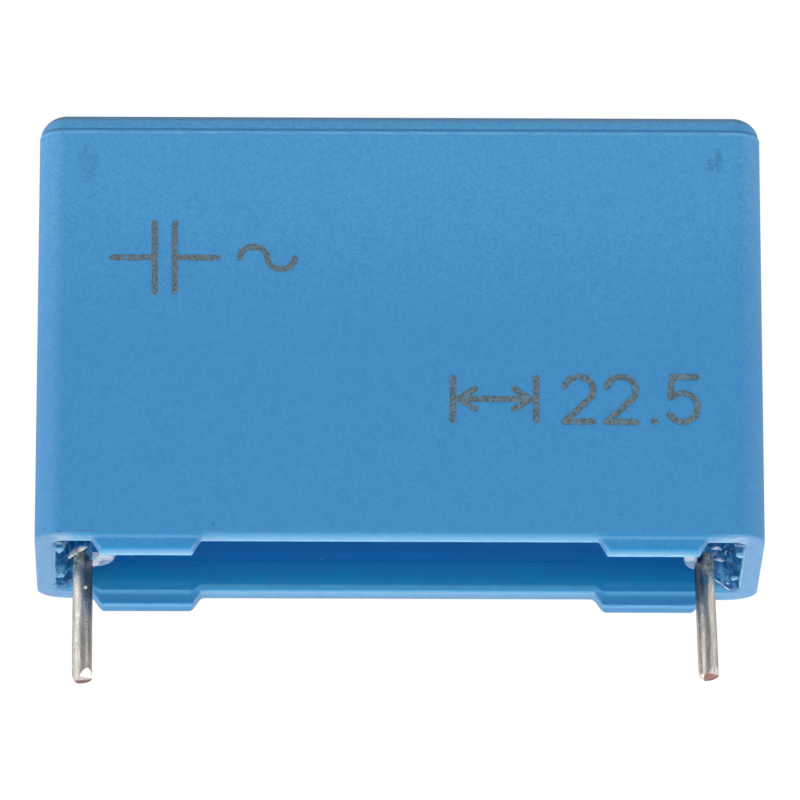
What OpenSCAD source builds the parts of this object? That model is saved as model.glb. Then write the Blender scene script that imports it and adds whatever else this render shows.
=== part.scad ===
// Box-type film capacitor for interference suppression, with two wire leads for a circuit board.
// Millimetres. The origin is midway between the leads on the board's top face, where the feet stand.
// X runs along the row of leads, Y from front to back and Z up, away from the board.

/* [Case] */
// Distance from the axis of the left lead to the left end of the case, at its rim
left_inset = 1.7; // [1.5:0.1:3]
// Distance from the axis of the right lead to the right end of the case, at its rim
right_inset = 2.1; // [1.5:0.1:3]
// Thickness of the case at its rim, front to back
case_w = 8.5; // [6:0.1:15]
// Height of the closed top above the board
case_h = 16.5; // [13:0.1:25]
// Thickness of the two long walls
long_wall = 1.25; // [0.8:0.05:1.8]
// Thickness of the two end walls
end_wall = 0.7; // [0.4:0.05:1.2]
// Thickness of the closed top
top_wall = 0.9; // [0.5:0.05:2]
// Radius of the four upright outer edges, at the rim
edge_r = 1.1; // [0.6:0.05:2]
// Radius of the outer edges around the closed top
top_r = 0.95; // [0.3:0.05:1.5]
// Radius of the four upright inner edges, at the rim
inner_r = 0.4; // [0.3:0.05:0.8]
// Bevel of the rim's inner edge
rim_bevel = 0.15; // [0.05:0.05:0.3]
// Draft of every upright wall, in degrees
draft = 0.4; // [0.1:0.1:0.8]

/* [Feet] */
// Height of the feet, which hold the rim off the board
foot_h = 0.5; // [0.3:0.05:1.5]
// Length of a foot where it leaves the rim
foot_l = 3.95; // [2:0.05:6]
// Distance from the end of the case to the nearest foot
foot_inset = 2.05; // [1.5:0.05:3]
// How far each sloping end of a foot leans in
foot_lean = 0.32; // [0.1:0.02:0.6]
// Radius of the outer edge along the bottom of a foot
foot_edge_r = 0.4; // [0.1:0.05:0.5]

/* [Leads] */
// Distance between the two leads, centre to centre
lead_pitch = 22.5; // [15:0.5:37.5]
// Diameter of a lead where it is round
lead_d = 0.75; // [0.6:0.05:1]
// Length of the left lead below the board's top face
left_lead_l = 3.9; // [2.5:0.1:6]
// Length of the right lead below the board's top face
right_lead_l = 3.7; // [2.5:0.1:6]
// Height of the sheared facet at a lead's tip
tip_h = 0.6; // [0.2:0.05:1]
// How deep the sheared facet cuts into the round of a lead
tip_in = 0.35; // [0.1:0.05:0.5]
// Direction that the sheared facet looks, in degrees from the front towards the right
tip_turn = 30; // [0:5:90]
// Size of the nipped corner on the left of a lead's tip
tip_nip = 0.27; // [0.1:0.03:0.4]
// Thickness of a lead where it is pressed flat inside the resin
flat_t = 0.5; // [0.3:0.05:0.6]
// Width of a lead where it is pressed flat inside the resin
flat_w = 1; // [0.8:0.1:1.6]
// Height of the tapering neck between the rim and the flat
neck_h = 1.8; // [1.3:0.1:2.2]
// Length of a lead that is welded to its end contact
weld_l = 6.5; // [3:0.5:8]
// Depth that a lead is pressed into its end contact
weld_bite = 0.1; // [0.05:0.05:0.3]

/* [Winding] */
// Resin between the winding and the case, all round
film_gap = 0.4; // [0.25:0.05:0.8]
// Depth from the rim up to the winding
film_depth = 2.4; // [2:0.1:4]
// Thickness of the sprayed metal on each end of the winding
contact_t = 0.6; // [0.4:0.05:1]

/* [Resin] */
// Depth from the rim to the level middle of the resin
resin_depth = 1.1; // [0.8:0.05:1.5]
// Depth from the rim to the resin where it climbs a lead
lead_depth = 0.05; // [0:0.05:0.5]
// How far from a lead the resin starts to climb
climb_r = 3.9; // [2:0.1:4.5]
// Radius of the hollow where the resin meets the walls
meniscus_r = 0.4; // [0.15:0.05:0.6]

/* [Hidden] */
$fn = 64;
left = -1;
right = 1;
// Overlap that lets a cutting shape pass cleanly through the face it opens
cut = 0.2;
// How far the hollow in the resin passes behind the walls, so that it meets them at an angle
wetting = 0.05;

// The case reaches past both leads, a little off their middle, and its feet hold its rim above the board
case_l = left_inset + lead_pitch + right_inset;
case_x = (right_inset - left_inset) / 2;
rim_z = foot_h;
cavity_l = case_l - 2 * end_wall;
cavity_w = case_w - 2 * long_wall;
cavity_top = case_h - top_wall;

// Small rounding where the inner faces of the case meet
cavity_round = 0.1;

// The feet stand on the flat of the rim, outside its bevel. Their ends are measured from the case's middle
foot_w = long_wall - rim_bevel;
foot_far = case_l / 2 - foot_inset;
foot_near = foot_far - foot_l;

// The lead is round up to the rim, tapers in the resin and ends in a flat on its end contact
lead_r = lead_d / 2;
flat_low = rim_z + neck_h;
film_low = rim_z + film_depth;
flat_top = film_low + weld_l;

// The winding fills the cavity but for the gap, and ends where the pressed-in leads need it to
contact_end = lead_pitch / 2 - flat_t / 2 + weld_bite;
film_end = contact_end - contact_t;
film_high = cavity_top - film_gap;
film_w = cavity_w - 2 * (film_gap + (cavity_top - rim_z) * tan(draft));

// The resin climbs each lead on a circle that just passes its level middle
resin_z = rim_z + resin_depth;
climb_h = resin_depth - lead_depth;
climb_arc = (climb_r * climb_r + climb_h * climb_h) / (2 * climb_h);

blue = [0.13, 0.5, 0.74];
deep_blue = [0.04, 0.32, 0.6];
film_grey = [0.72, 0.74, 0.76];
zinc_grey = [0.55, 0.56, 0.58];
tin_grey = [0.76, 0.75, 0.73];

// Half of a wall's section, from the axis of an upright edge out to its sloping, rounded outline
module edge_section(height, r, rounding, slope) {
    round_r = min(rounding, (r - height * tan(slope)) * cos(slope));
    centre = [r - (height - round_r) * tan(slope) - round_r / cos(slope), height - round_r];
    tangent = centre + round_r * [cos(slope), sin(slope)];
    polygon([[0, 0], [r, 0], tangent, centre, [centre.x, height], [0, height]]);
    intersection() {
        translate(centre) circle(round_r);
        translate(centre) square(round_r);
    }
}

// A box that narrows upwards, with round upright edges and a rounded top
module sloped_box(length, width, height, r, rounding, slope) {
    straight_l = length - 2 * r;
    straight_w = width - 2 * r;
    rotate([90, 0, 0]) linear_extrude(straight_w, center = true) {
        translate([-straight_l / 2, 0]) square([straight_l, height]);
        for (side = [0, 1])
            mirror([side, 0]) translate([straight_l / 2, 0]) edge_section(height, r, rounding, slope);
    }
    for (turn = [90, 270])
        rotate([90, 0, turn]) translate([straight_w / 2, 0, 0])
            linear_extrude(straight_l, center = true) edge_section(height, r, rounding, slope);
    for (turn = [0, 180], side = [0, 1])
        rotate(turn) mirror([side, 0, 0]) translate([straight_l / 2, straight_w / 2, 0])
            rotate_extrude(angle = 90) edge_section(height, r, rounding, slope);
}

// The inside of the case, open a little below the rim
module cavity() {
    translate([0, 0, rim_z - cut])
        sloped_box(cavity_l, cavity_w, cavity_top - rim_z + cut, inner_r, cavity_round, draft);
}

// What the bevel takes from the rim: a flare around the opening
module rim_flare() {
    grow = 2 * (rim_bevel + cut);
    translate([0, 0, rim_z - cut])
        sloped_box(cavity_l + grow, cavity_w + grow, rim_bevel + 2 * cut,
                   inner_r + rim_bevel + cut, cavity_round, 45);
}

// Section of a foot across a long wall: its top lies on the rim and its lower outer edge is round
module foot_section() {
    round_r = min(foot_edge_r, foot_h, foot_w);
    translate([0, round_r]) square([foot_w, foot_h - round_r]);
    square([foot_w - round_r, foot_h]);
    translate([foot_w - round_r, round_r]) circle(round_r);
}

// One foot at the right end of the back wall, with both ends sloping
module foot() {
    intersection() {
        translate([0, case_w / 2 - foot_w, 0])
            rotate([90, 0, 90]) linear_extrude(case_l / 2) foot_section();
        rotate([90, 0, 0]) linear_extrude(2 * case_w, center = true)
            polygon([[foot_near, foot_h], [foot_near + foot_lean, 0],
                     [foot_far - foot_lean, 0], [foot_far, foot_h]]);
    }
}

module case() {
    color(blue) translate([case_x, 0, 0]) {
        difference() {
            translate([0, 0, rim_z])
                sloped_box(case_l, case_w, case_h - rim_z, edge_r, top_r, draft);
            cavity();
            rim_flare();
        }
        for (x_side = [0, 1], y_side = [0, 1])
            mirror([x_side, 0, 0]) mirror([0, y_side, 0]) foot();
    }
}

// Outline of the flattened roll, seen along its axis
module roll_section() {
    round_r = film_w / 2;
    translate([-round_r, film_low + round_r]) square([film_w, film_high - film_low - film_w]);
    for (z = [film_low + round_r, film_high - round_r])
        translate([0, z]) circle(round_r);
}

module roll(from_x, to_x) {
    translate([from_x, 0, 0]) rotate([90, 0, 90]) linear_extrude(to_x - from_x) roll_section();
}

module film_winding() {
    color(film_grey) roll(-film_end, film_end);
}

// The part of a lead above the rim: a tapering neck, then the flat
module lead_root(side) {
    translate([side * lead_pitch / 2, 0, rim_z]) {
        cylinder(r1 = lead_r, r2 = flat_t / 2, h = neck_h);
        translate([-flat_t / 2, -flat_w / 2, neck_h - cut])
            cube([flat_t, flat_w, flat_top - flat_low + cut]);
    }
}

module end_contact(side) {
    color(zinc_grey) difference() {
        mirror([side == left ? 1 : 0, 0, 0]) roll(film_end, contact_end);
        lead_root(side);
    }
}

// What the cutter takes from a tip: the sheared facet and the nipped corner
module tip_cut() {
    rotate([90, 0, tip_turn + 90]) linear_extrude(2 * lead_d, center = true)
        polygon([[-lead_d, tip_h + (lead_d - lead_r) * tip_h / tip_in], [tip_in - lead_r, 0],
                 [tip_in - lead_r + cut * tip_in / tip_h, -cut], [-lead_d, -cut]]);
    rotate([90, 0, 0]) linear_extrude(2 * lead_d, center = true)
        polygon([[-lead_r - cut, tip_nip + cut], [tip_nip + cut - lead_r, -cut], [-lead_r - cut, -cut]]);
}

module lead(side, below) {
    color(tin_grey) {
        lead_root(side);
        translate([side * lead_pitch / 2, 0, -below]) difference() {
            cylinder(r = lead_r, h = below + rim_z);
            tip_cut();
        }
    }
}

// Resin that climbs a lead, hollow all the way round
module resin_climb(side) {
    reach = lead_r + climb_r;
    translate([side * lead_pitch / 2, 0, 0]) rotate_extrude() difference() {
        translate([0, rim_z + lead_depth]) square([reach, climb_h + cut]);
        translate([reach, resin_z - climb_arc + wetting]) circle(climb_arc);
    }
}

// The open space under the resin, down to just below the rim
module resin_hollow() {
    grow = 2 * wetting;
    difference() {
        translate([case_x, 0, rim_z - 2 * cut])
            sloped_box(cavity_l + grow, cavity_w + grow, resin_depth + 2 * cut,
                       inner_r + wetting, meniscus_r, draft);
        for (side = [left, right]) resin_climb(side);
    }
}

module potting_resin() {
    color(deep_blue) difference() {
        translate([case_x, 0, 0]) cavity();
        resin_hollow();
        roll(-contact_end, contact_end);
        for (side = [left, right]) lead_root(side);
    }
}

case();
potting_resin();
film_winding();
end_contact(left);  // end_contact_left
end_contact(right);  // end_contact_right
lead(left, left_lead_l);  // lead_left
lead(right, right_lead_l);  // lead_right
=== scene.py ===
"""Looks of a boxed film capacitor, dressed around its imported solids.

Everything is made in the solids' frame: X along the leads, Y from front to back, Z up from the board.
Lengths below are in millimetres and turn into metres where a mesh is made.
"""
import math

import bmesh
import bpy
import numpy as np
from mathutils import Matrix, Vector, noise


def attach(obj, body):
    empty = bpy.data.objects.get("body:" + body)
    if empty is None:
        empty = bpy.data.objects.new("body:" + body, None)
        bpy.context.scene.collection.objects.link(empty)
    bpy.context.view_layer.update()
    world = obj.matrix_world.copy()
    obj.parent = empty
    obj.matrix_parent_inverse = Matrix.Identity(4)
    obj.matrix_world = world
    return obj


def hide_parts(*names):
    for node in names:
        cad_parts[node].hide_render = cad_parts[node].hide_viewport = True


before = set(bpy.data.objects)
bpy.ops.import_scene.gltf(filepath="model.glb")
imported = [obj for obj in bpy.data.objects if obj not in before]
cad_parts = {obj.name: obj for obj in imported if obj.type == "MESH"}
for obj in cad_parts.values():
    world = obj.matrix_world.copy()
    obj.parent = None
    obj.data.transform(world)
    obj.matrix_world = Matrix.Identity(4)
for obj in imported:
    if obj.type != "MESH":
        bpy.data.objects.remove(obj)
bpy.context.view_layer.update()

MM = 0.001

# Sizes of the solids that the pieces here stand for
LEAD_PITCH = 22.5
LEFT_INSET = 1.7
RIGHT_INSET = 2.1
CASE_L = LEFT_INSET + LEAD_PITCH + RIGHT_INSET
CASE_X = (RIGHT_INSET - LEFT_INSET) / 2
CASE_W = 8.5
CASE_H = 16.5
LONG_WALL = 1.25
END_WALL = 0.7
TOP_WALL = 0.9
EDGE_R = 1.1
TOP_R = 0.95
INNER_R = 0.4
RIM_BEVEL = 0.15
DRAFT = math.radians(0.4)
FOOT_H = 0.5
FOOT_L = 3.95
FOOT_INSET = 2.05
FOOT_LEAN = 0.32
LEFT_LEAD_L = 3.9
RIGHT_LEAD_L = 3.7
FLAT_T = 0.5
FLAT_W = 1.0
NECK_H = 1.8
FLAT_TOP = 9.4
RESIN_DEPTH = 1.1

RIM_Z = FOOT_H
CAVITY_L = CASE_L - 2 * END_WALL
CAVITY_W = CASE_W - 2 * LONG_WALL
CAVITY_TOP = CASE_H - TOP_WALL
# Where a foot begins and ends, from the middle of the case
FOOT_FAR = CASE_L / 2 - FOOT_INSET
FOOT_NEAR = FOOT_FAR - FOOT_L
# Upright edges turn about these points, outside and inside
CORE_X = CASE_L / 2 - EDGE_R
CORE_Y = CASE_W / 2 - EDGE_R
CORE_Y_INSIDE = CAVITY_W / 2 - INNER_R
# Faces of the long walls in y, and the inner face of the end walls from the middle of the case
FRONT, FRONT_INSIDE = -CASE_W / 2, -CAVITY_W / 2
BACK, BACK_INSIDE = CASE_W / 2, CAVITY_W / 2
END_INSIDE = CAVITY_L / 2

# Sizes that only the looks have.
# The wires are drawn a little thinner than their nominal size. The left one stands a hair further in,
# and the right one leans outwards below the rim by some degrees.
LEAD_R = 0.362
LEFT_SHIFT = 0.02
RIGHT_LEAN = 2.0
# How far each end of the case draws in from the front to the back
LEFT_DRAWN_IN = 0.06
RIGHT_DRAWN_IN = 0.1
# Heights of the parting line and of the bead under it
PARTING_Z = 15.81
BEAD_Z = 15.66


def add_object(name, mesh, materials):
    for material in materials:
        mesh.materials.append(material)
    obj = bpy.data.objects.new(name, mesh)
    bpy.context.scene.collection.objects.link(obj)
    return obj


def make_object(name, verts, faces, *materials):
    """A smooth mesh object from points in millimetres."""
    mesh = bpy.data.meshes.new(name)
    mesh.from_pydata([Vector(v) * MM for v in verts], [], faces)
    mesh.validate()
    mesh.shade_smooth()
    return add_object(name, mesh, materials)


def face_outwards(obj):
    bm = bmesh.new()
    bm.from_mesh(obj.data)
    bmesh.ops.recalc_face_normals(bm, faces=bm.faces)
    bm.to_mesh(obj.data)
    bm.free()


def blend_low(a, b, width):
    """The lower of two heights, rounded where they cross."""
    h = np.clip(0.5 + 0.5 * (b - a) / width, 0, 1)
    return b + (a - b) * h - width * h * (1 - h)


def fade(value, low, high):
    """0 up to low, 1 from high on, smooth between."""
    t = np.clip((value - low) / (high - low), 0, 1)
    return t * t * (3 - 2 * t)


def quarter_turn(steps):
    """Angles from 0 to 90 degrees, in radians."""
    return [math.radians(90 * step / steps) for step in range(steps + 1)]


# Materials: x, y and z there are places in millimetres, and masks run from 0 to 1


def srgb(r, g, b):
    """A colour given as 0-255 screen values, as a linear colour."""
    def linear(c):
        c /= 255
        return c / 12.92 if c <= 0.04045 else ((c + 0.055) / 1.055) ** 2.4
    return (linear(r), linear(g), linear(b), 1.0)


class Nodes:
    """Short ways to add nodes to a material or world."""

    def __init__(self, owner):
        owner.use_nodes = True
        self.tree = owner.node_tree
        self.tree.nodes.clear()

    def add(self, kind, inputs=None, **settings):
        node = self.tree.nodes.new(kind)
        for key, value in settings.items():
            setattr(node, key, value)
        for key, value in (inputs or {}).items():
            self.put(node, key, value)
        return node

    def put(self, node, key, value):
        socket = node.inputs[key]
        if isinstance(value, bpy.types.NodeSocket):
            self.tree.links.new(value, socket)
        else:
            socket.default_value = value

    def math(self, operation, a, b=0.0, clamp=False):
        return self.add("ShaderNodeMath", {0: a, 1: b}, operation=operation, use_clamp=clamp).outputs[0]

    def times(self, first, *others):
        for other in others:
            first = self.math("MULTIPLY", first, other)
        return first

    def apart(self, a, b):
        """How far two values lie apart."""
        return self.math("ABSOLUTE", self.math("SUBTRACT", a, b))

    def squares(self, a, b):
        """The sum of two squares."""
        return self.math("ADD", self.times(a, a), self.times(b, b))

    def ramp(self, value, low, high, to_low=0.0, to_high=1.0):
        """A smooth change from to_low at low to to_high at high, level beyond them."""
        node = self.add("ShaderNodeMapRange", interpolation_type="SMOOTHSTEP")
        for key, v in enumerate((value, low, high, to_low, to_high)):
            self.put(node, key, v)
        return node.outputs[0]

    def band(self, value, start, full, still_full, end):
        """1 from full to still_full, and 0 before start and after end."""
        return self.times(self.ramp(value, start, full), self.ramp(value, end, still_full))

    def by_side(self, x, left, right):
        """One level on the left half of the part and another on the right half."""
        return self.ramp(x, -1.0, 1.0, left, right)

    def mix(self, factor, a, b, blend="MIX"):
        node = self.add("ShaderNodeMix", data_type="RGBA", blend_type=blend)
        self.put(node, 0, factor)
        self.put(node, 6, a)
        self.put(node, 7, b)
        return node.outputs[2]

    def tint(self, colour, mask, screen_colour, amount=1.0):
        """Lays a colour, given as screen values, over another where the mask says so."""
        if amount != 1.0:
            mask = self.times(mask, amount)
        return self.mix(mask, colour, srgb(*screen_colour))

    def curve(self, value, points):
        """Levels along straight lines between (value, level) points."""
        node = self.add("ShaderNodeValToRGB", {0: value})
        stops = node.color_ramp.elements
        while len(stops) < len(points):
            stops.new(0.5)
        for stop, (at, level) in zip(stops, points):
            stop.position = at
            stop.color = (level, level, level, 1)
        return node.outputs[0]

    def position(self):
        """Object coordinates in millimetres."""
        coordinates = self.add("ShaderNodeTexCoord").outputs["Object"]
        return self.add("ShaderNodeVectorMath", {0: coordinates, 3: 1 / MM}, operation="SCALE").outputs[0]

    def axes(self, where):
        split = self.add("ShaderNodeSeparateXYZ", {0: where}).outputs
        return split[0], split[1], split[2]

    def stretch(self, where, scale):
        return self.add("ShaderNodeMapping", {"Vector": where, "Scale": scale}).outputs[0]

    def noise(self, where, scale, detail, roughness=0.5):
        inputs = {"Vector": where, "Scale": scale, "Detail": detail, "Roughness": roughness}
        return self.add("ShaderNodeTexNoise", inputs).outputs["Fac"]

    def specks(self, where, scale, size):
        """Small dots: 1 at the heart of about every fifth cell and 0 elsewhere."""
        cells = self.add("ShaderNodeTexVoronoi", {"Vector": where, "Scale": scale})
        near = self.ramp(cells.outputs["Distance"], size, size * 0.4)
        chosen = self.ramp(self.axes(cells.outputs["Color"])[0], 0.8, 0.82)
        return self.times(near, chosen)

    def bump(self, height, distance, strength):
        inputs = {"Height": height, "Distance": distance * MM, "Strength": strength}
        return self.add("ShaderNodeBump", inputs).outputs[0]

    def ray_kinds(self):
        """Whether a ray comes from the camera, and whether from a mirror or through glass."""
        path = self.add("ShaderNodeLightPath").outputs
        mirrored = self.math("ADD", path["Is Glossy Ray"], path["Is Transmission Ray"], clamp=True)
        return path["Is Camera Ray"], mirrored

    def principled(self, **inputs):
        shader = self.add("ShaderNodeBsdfPrincipled")
        for key, value in inputs.items():
            self.put(shader, key.replace("_", " "), value)
        output = self.add("ShaderNodeOutputMaterial")
        self.tree.links.new(shader.outputs[0], output.inputs[0])
        return shader


# Dark marks on the front face: centre (x, z), reach across and up, and how dark
FACE_MARKS = [
    ((-11.1, 14.5), (0.5, 0.9), 0.26),
    ((11.42, 14.5), (0.18, 0.36), 0.45),
    ((11.72, 14.65), (0.2, 0.55), 0.5),
    ((-12.6, 0.75), (0.09, 0.08), 0.6),
    ((-12.05, 0.57), (0.16, 0.06), 0.8),
    ((-11.15, 0.6), (0.55, 0.05), 0.6),
    ((11.55, 0.58), (0.3, 0.05), 0.5),
    ((12.1, 0.58), (0.1, 0.07), 0.7),
]


def spot(n, x, z, centre, reach):
    """A soft round mask around centre (x, z)."""
    across = n.math("DIVIDE", n.math("SUBTRACT", x, centre[0]), reach[0])
    along = n.math("DIVIDE", n.math("SUBTRACT", z, centre[1]), reach[1])
    return n.ramp(n.squares(across, along), 1.0, 0.2)


def case_material():
    material = bpy.data.materials.new("blue_moulded_plastic")
    n = Nodes(material)
    where = n.position()
    x, y, z = n.axes(where)
    cloud = n.noise(where, 0.45, 3.0)
    grain = n.noise(where, 7.0, 3.0, 0.65)
    fine = n.noise(where, 20.0, 2.0, 0.6)
    mottle = n.noise(where, 2.4, 2.0, 0.6)
    colour = n.mix(n.ramp(cloud, 0.3, 0.7), srgb(55, 138, 193), srgb(62, 143, 197))
    colour = n.tint(colour, n.ramp(mottle, 0.35, 0.65, 0.0, 0.7), (72, 148, 192))
    colour = n.tint(colour, n.ramp(grain, 0.35, 0.7, 0.0, 0.8), (40, 126, 187))
    colour = n.tint(colour, n.ramp(fine, 0.42, 0.68, 0.0, 0.6), (82, 159, 209))
    # Painted shade: the face darker towards the bottom
    colour = n.tint(colour, n.ramp(z, 15.5, 7.0, 0.0, 0.5), (38, 122, 180))
    # Painted highlight along the bead under the parting line, patchy along its length
    bead = n.band(z, BEAD_Z - 0.06, BEAD_Z - 0.02, BEAD_Z + 0.02, BEAD_Z + 0.06)
    bead_highlight = n.ramp(n.noise(n.stretch(where, (1, 1, 0)), 1.3, 3.0), 0.35, 0.6, 0.15, 0.45)
    colour = n.tint(colour, n.times(bead, bead_highlight), (116, 176, 216))
    # Painted shade: the top is duller, and its edge and the parting line's groove are darker
    colour = n.tint(colour, n.ramp(z, CASE_H - 0.2, CASE_H - 0.04, 0.0, 0.35), (44, 100, 144))
    top_edge_shade = n.band(z, CASE_H - 0.4, CASE_H - 0.18, CASE_H - 0.08, CASE_H - 0.001)
    colour = n.tint(colour, top_edge_shade, (40, 76, 104), 0.5)
    colour = n.tint(colour, n.ramp(n.apart(z, PARTING_Z), 0.07, 0.02, 0.0, 0.45), (30, 84, 130))
    # Painted highlight: the front rim is lighter over the open corners
    from_middle = n.apart(x, CASE_X)
    corners = n.band(from_middle, FOOT_FAR - 0.1, FOOT_FAR + 0.15, END_INSIDE - 0.15, END_INSIDE + 0.25)
    front_rim = n.times(n.band(y, FRONT + 0.2, FRONT + 0.4, FRONT_INSIDE - 0.3, FRONT_INSIDE - 0.1),
                        n.ramp(z, RIM_Z + 0.03, RIM_Z + 0.005))
    corners = n.times(corners, front_rim, n.ramp(mottle, 0.3, 0.6, 0.1, 0.36))
    colour = n.tint(colour, corners, (200, 218, 228))
    # Bottom faces of the long walls get painted light, most of all as a painted highlight along the inner
    # edge, with painted shade towards the outer edge; they also shine less towards the outer edge
    beside = n.math("ABSOLUTE", y)
    below = n.times(n.ramp(z, RIM_Z + 0.06, RIM_Z + 0.01),
                    n.ramp(from_middle, FOOT_FAR + 1.0, FOOT_FAR + 0.5))
    on_rim = n.times(below, n.ramp(z, RIM_Z - 0.04, RIM_Z - 0.01))
    on_foot = n.ramp(z, 0.07, 0.02)
    bottom = n.math("ADD", on_rim, on_foot, clamp=True)
    back = n.ramp(y, -0.5, 0.5)
    painted_rim_light = n.times(n.ramp(beside, BACK - 0.05, BACK_INSIDE + 0.6, 0.3, 0.7),
                    n.ramp(back, 0.0, 1.0, 1.0, 0.6))
    colour = n.tint(colour, n.times(bottom, painted_rim_light), (58, 157, 206))
    # Painted highlight along the inner edge of the bottoms
    edge = n.times(n.ramp(beside, BACK_INSIDE + 0.65, BACK_INSIDE + 0.25), n.ramp(back, 0.0, 1.0, 0.6, 0.12),
                   n.ramp(n.noise(where, 2.6, 4.0, 0.65), 0.35, 0.62, 0.5, 1.3))
    colour = n.tint(colour, n.times(bottom, edge), (125, 198, 238))
    # Painted shade towards the outer edges of the bottoms
    outer_front_shade = n.times(n.ramp(y, FRONT_INSIDE - 0.5, FRONT + 0.15), on_foot)
    colour = n.tint(colour, outer_front_shade, (40, 132, 190), 0.5)
    outer_back_shade = n.times(n.ramp(y, BACK_INSIDE + 0.45, BACK_INSIDE + 0.65), on_foot)
    colour = n.tint(colour, outer_back_shade, (32, 122, 178), 0.85)
    outer_rim_shade = n.times(n.ramp(y, BACK_INSIDE + 0.6, BACK - 0.3), on_rim)
    colour = n.tint(colour, outer_rim_shade, (40, 104, 146), 0.5)
    front_shine = n.mix(on_foot, n.ramp(y, FRONT + 0.05, FRONT_INSIDE - 0.3, 0.06, 0.62),
                        n.ramp(y, FRONT + 0.15, FRONT_INSIDE - 0.3, 0.0, 0.5))
    back_shine = n.times(n.ramp(y, BACK_INSIDE + 0.3, BACK_INSIDE + 0.6, 0.38, 0.28),
                         n.ramp(z, 0.1, 0.04, 1.0, 0.3))
    shine = n.mix(bottom, n.ramp(below, 0.0, 1.0, 0.5, 0.2), n.mix(back, front_shine, back_shine))
    # A painted highlight on the step where a front foot meets the wall
    step = n.times(n.band(z, RIM_Z - 0.17, RIM_Z - 0.11, RIM_Z - 0.07, RIM_Z - 0.01),
                   n.ramp(y, FRONT + 0.17, FRONT + 0.11))
    colour = n.tint(colour, step, (150, 205, 238), 0.19)
    # The left end's rim is the duller of the two
    left_wall = CASE_X - END_INSIDE
    left_end = n.times(n.ramp(x, left_wall + 0.65, left_wall - 0.05), n.ramp(z, RIM_Z + 0.06, RIM_Z))
    colour = n.tint(colour, left_end, (40, 122, 172), 0.4)
    # Dark marks: soft patches near the upper corners, short ones along the rim, and a few small specks
    front = n.ramp(y, -2.0, -3.0)
    for centre, reach, amount in FACE_MARKS:
        uneven = n.ramp(n.noise(where, 2.0 / min(reach), 3.0), 0.4, 0.62, 0.3, 1.0)
        mark = n.times(spot(n, x, z, centre, reach), front, uneven)
        colour = n.tint(colour, mark, (38, 86, 128), amount)
    dots = n.times(n.specks(where, 1.1, 0.11), n.ramp(z, 2.0, 0.7, 0.25, 0.6))
    colour = n.tint(colour, dots, (36, 96, 142))
    height = n.math("ADD", n.times(grain, 0.6), n.times(fine, 0.4))
    n.principled(Base_Color=colour, Roughness=n.ramp(grain, 0.3, 0.7, 0.36, 0.46),
                 Normal=n.bump(height, 0.014, 0.75), Specular_IOR_Level=shine)
    return material


def inside_material():
    """The inner face of the walls, wet with resin, with painted shade that darkens it the deeper it lies."""
    material = bpy.data.materials.new("wet_wall_painted_shade")
    n = Nodes(material)
    where = n.position()
    x, _, z = n.axes(where)
    cloud = n.noise(where, 1.2, 3.0)
    # Painted shade: darker the deeper the wall lies
    colour = n.mix(n.ramp(z, 0.6, 1.7), srgb(12, 132, 180), srgb(0, 107, 174))
    colour = n.tint(colour, n.ramp(cloud, 0.35, 0.75, 0.0, 0.3), (2, 98, 160))
    # Low on the wall above a foot it is lighter, with a painted highlight on the step; the bevel is bare
    # plastic; and painted light brightens the wall near the corners
    from_middle = n.apart(x, CASE_X)
    by_foot = n.band(from_middle, FOOT_NEAR + 0.25, FOOT_NEAR + 0.45, FOOT_FAR - 0.3, FOOT_FAR - 0.1)
    colour = n.tint(colour, n.times(by_foot, n.ramp(z, 0.9, 0.75)), (36, 136, 190))
    step = n.times(n.band(z, RIM_Z - 0.14, RIM_Z - 0.08, RIM_Z - 0.04, RIM_Z + 0.02), by_foot)
    colour = n.tint(colour, step, (130, 200, 236), 0.2)
    bare = n.times(n.ramp(z, RIM_Z + 0.12, RIM_Z), n.math("SUBTRACT", 1.0, by_foot))
    colour = n.tint(colour, bare, (22, 132, 192))
    corner_wall_light = n.times(n.ramp(from_middle, FOOT_FAR, FOOT_FAR + 0.6), n.ramp(z, 1.2, 0.7))
    colour = n.tint(colour, corner_wall_light, (72, 154, 206))
    # Painted light on the end walls' inner faces, stronger on the right
    by_end = n.ramp(from_middle, END_INSIDE - 0.15, END_INSIDE - 0.03)
    colour = n.tint(colour, n.times(by_end, n.by_side(x, 0.25, 0.6)), (150, 206, 236))
    n.principled(Base_Color=colour, Roughness=n.ramp(cloud, 0.3, 0.7, 0.3, 0.42),
                 Normal=n.bump(n.noise(where, 5.0, 3.0), 0.01, 0.6))
    return material


# Ridges left as the resin set, with a painted highlight along each crest: from one point to another, depth of
# the crest, half its width and the highlight's colour
BEIGE = (208, 207, 194)
WHITISH = (196, 218, 235)
RESIN_RIDGES = [
    ((-11.72, 0.05), (-11.1, -1.35), 0.3, 0.11, BEIGE),
    ((11.65, 0.4), (12.0, 0.5), 0.42, 0.07, WHITISH),
    ((11.5, -0.9), (11.85, -0.8), 0.45, 0.07, WHITISH),
]
# Painted glints lying flat on the resin, as short lines and dots: ends and half the width
RESIN_GLINTS = [
    ((11.74, 2.86), (12.28, 2.9), 0.07),
    ((11.98, 0.2), (11.98, 0.24), 0.05),
    ((12.05, 0.34), (12.05, 0.38), 0.05),
    ((12.17, 2.6), (12.19, 2.63), 0.05),
    ((-11.68, 1.68), (-11.67, 1.77), 0.05),
]


def along_line(n, x, y, a, b, half):
    """A mask along the line from a to b, in plan, thinner towards both ends."""
    dx, dy = b[0] - a[0], b[1] - a[1]
    from_x, from_y = n.math("SUBTRACT", x, a[0]), n.math("SUBTRACT", y, a[1])
    share = n.math("ADD", n.times(from_x, dx), n.times(from_y, dy))
    share = n.math("DIVIDE", share, dx * dx + dy * dy, clamp=True)
    off_x = n.math("SUBTRACT", from_x, n.times(share, dx))
    off_y = n.math("SUBTRACT", from_y, n.times(share, dy))
    off = n.math("SQRT", n.squares(off_x, off_y))
    end = n.apart(n.times(share, 2.0), 1.0)
    off = n.math("ADD", off, n.times(end, end, half * 0.6))
    return n.ramp(off, half * 1.4, half * 0.6)


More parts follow.
